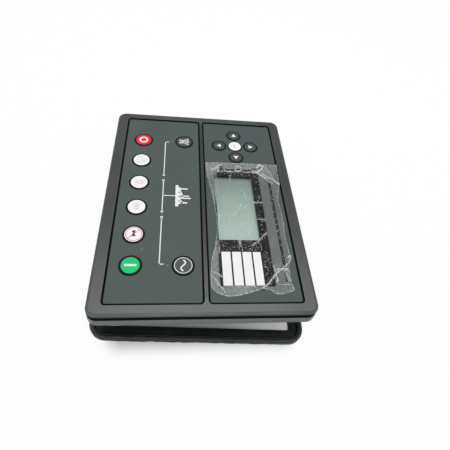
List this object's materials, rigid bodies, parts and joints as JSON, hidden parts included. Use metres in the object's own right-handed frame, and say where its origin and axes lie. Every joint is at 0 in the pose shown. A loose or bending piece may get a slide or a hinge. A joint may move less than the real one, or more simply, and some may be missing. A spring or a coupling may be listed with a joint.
{
  "type": "genset controller",
  "caption": "Panel-mounted generator set controller: bezel with sprung keys, display window, rear case with terminal headers, and a loose panel gasket.",
  "frame": {"origin": "centre of the flat back that it rests on", "axes": "+X along the long side of the fascia, to the right as it is read; +Y up the fascia; +Z out of the fascia"},
  "size_m": [0.251, 0.1916, 0.0417],
  "materials": {
    "bezel_plastic": "fine moulded texture, satin",
    "fascia_sheet": "printed polycarbonate sheet, fine velvet texture",
    "window_clear": "clear hard-coated window",
    "label_paper": "white paper card",
    "film_clear": "thin wrinkled clear film",
    "key_red": "satin red moulding",
    "key_white": "satin white moulding",
    "key_green": "satin green moulding",
    "key_dark": "satin dark moulding",
    "mat_rubber": "black silicone rubber",
    "dome_steel": "bright spring steel",
    "pipe_clear": "clear moulded acrylic",
    "led_resin": "lamp resin",
    "lcd_frame_metal": "pressed metal frame",
    "lcd_glass": "grey-green display glass",
    "lcd_backlight": "milky light guide",
    "circuit_board": "green solder resist",
    "connector_black": "black connector moulding",
    "chip_resin": "black moulded resin",
    "choke_winding": "enamelled copper winding",
    "relay_plastic": "blue moulded cover",
    "transformer_core": "varnished laminations",
    "capacitor_sleeve": "shrunk sleeve",
    "case_plastic": "black moulded case",
    "header_green": "green moulded header",
    "pin_metal": "tinned pins",
    "socket_metal": "plated sheet metal",
    "seal_rubber": "soft black foam rubber",
    "screw_steel": "zinc-plated steel",
    "gasket_rubber": "black moulded rubber"
  },
  "bodies": {
    "root": {"front_bezel": "bezel_plastic", "mode_overlay": "fascia_sheet", "display_overlay": "fascia_sheet", "display_window": "window_clear", "label_card": "label_paper", "protective_film": "film_clear", "mode_key_mat": "mat_rubber", "menu_key_mat": "mat_rubber", "snap_domes": "dome_steel", "light_pipes": "pipe_clear", "status_leds": "led_resin", "lcd_frame": "lcd_frame_metal", "lcd_glass": "lcd_glass", "lcd_backlight": "lcd_backlight", "display_board": "circuit_board", "board_link_header": "connector_black", "board_link_socket": "connector_black", "main_board": "circuit_board", "processor_chip": "chip_resin", "supply_choke": "choke_winding", "relay_1": "relay_plastic", "relay_2": "relay_plastic", "relay_3": "relay_plastic", "current_transformer_1": "transformer_core", "current_transformer_2": "transformer_core", "current_transformer_3": "transformer_core", "capacitor_1": "capacitor_sleeve", "capacitor_2": "capacitor_sleeve", "rear_case": "case_plastic", "terminal_pins": "pin_metal", "usb_socket": "socket_metal", "serial_socket": "socket_metal", "case_seal": "seal_rubber", "case_screws": "screw_steel", "board_screws": "screw_steel", "panel_gasket": "gasket_rubber", "terminal_header_a": "header_green", "terminal_header_b": "header_green", "terminal_header_c": "header_green", "terminal_header_d": "header_green", "terminal_header_e": "header_green", "terminal_header_f": "header_green"},
    "stop_key": {"stop_key": "key_red"},
    "manual_key": {"manual_key": "key_white"},
    "test_key": {"test_key": "key_white"},
    "auto_key": {"auto_key": "key_white"},
    "mute_key": {"mute_key": "key_white"},
    "start_key": {"start_key": "key_green"},
    "mains_key": {"mains_key": "key_dark"},
    "generator_key": {"generator_key": "key_dark"},
    "info_key": {"info_key": "key_white"},
    "up_key": {"up_key": "key_dark"},
    "down_key": {"down_key": "key_dark"},
    "left_key": {"left_key": "key_dark"},
    "right_key": {"right_key": "key_dark"}
  },
  "joints": [
    {"name": "stop_press", "type": "slide", "parent": "root", "child": "stop_key", "axis": [0, 0, -1], "range_m": [0, 0.0012], "stiffness_N_per_m": 600},
    {"name": "manual_press", "type": "slide", "parent": "root", "child": "manual_key", "axis": [0, 0, -1], "range_m": [0, 0.0012], "stiffness_N_per_m": 600},
    {"name": "test_press", "type": "slide", "parent": "root", "child": "test_key", "axis": [0, 0, -1], "range_m": [0, 0.0012], "stiffness_N_per_m": 600},
    {"name": "auto_press", "type": "slide", "parent": "root", "child": "auto_key", "axis": [0, 0, -1], "range_m": [0, 0.0012], "stiffness_N_per_m": 600},
    {"name": "mute_press", "type": "slide", "parent": "root", "child": "mute_key", "axis": [0, 0, -1], "range_m": [0, 0.0012], "stiffness_N_per_m": 600},
    {"name": "start_press", "type": "slide", "parent": "root", "child": "start_key", "axis": [0, 0, -1], "range_m": [0, 0.0012], "stiffness_N_per_m": 600},
    {"name": "mains_press", "type": "slide", "parent": "root", "child": "mains_key", "axis": [0, 0, -1], "range_m": [0, 0.0012], "stiffness_N_per_m": 600},
    {"name": "generator_press", "type": "slide", "parent": "root", "child": "generator_key", "axis": [0, 0, -1], "range_m": [0, 0.0012], "stiffness_N_per_m": 600},
    {"name": "info_press", "type": "slide", "parent": "root", "child": "info_key", "axis": [0, 0, -1], "range_m": [0, 0.0012], "stiffness_N_per_m": 600},
    {"name": "up_press", "type": "slide", "parent": "root", "child": "up_key", "axis": [0, 0, -1], "range_m": [0, 0.0012], "stiffness_N_per_m": 600},
    {"name": "down_press", "type": "slide", "parent": "root", "child": "down_key", "axis": [0, 0, -1], "range_m": [0, 0.0012], "stiffness_N_per_m": 600},
    {"name": "left_press", "type": "slide", "parent": "root", "child": "left_key", "axis": [0, 0, -1], "range_m": [0, 0.0012], "stiffness_N_per_m": 600},
    {"name": "right_press", "type": "slide", "parent": "root", "child": "right_key", "axis": [0, 0, -1], "range_m": [0, 0.0012], "stiffness_N_per_m": 600}
  ]
}
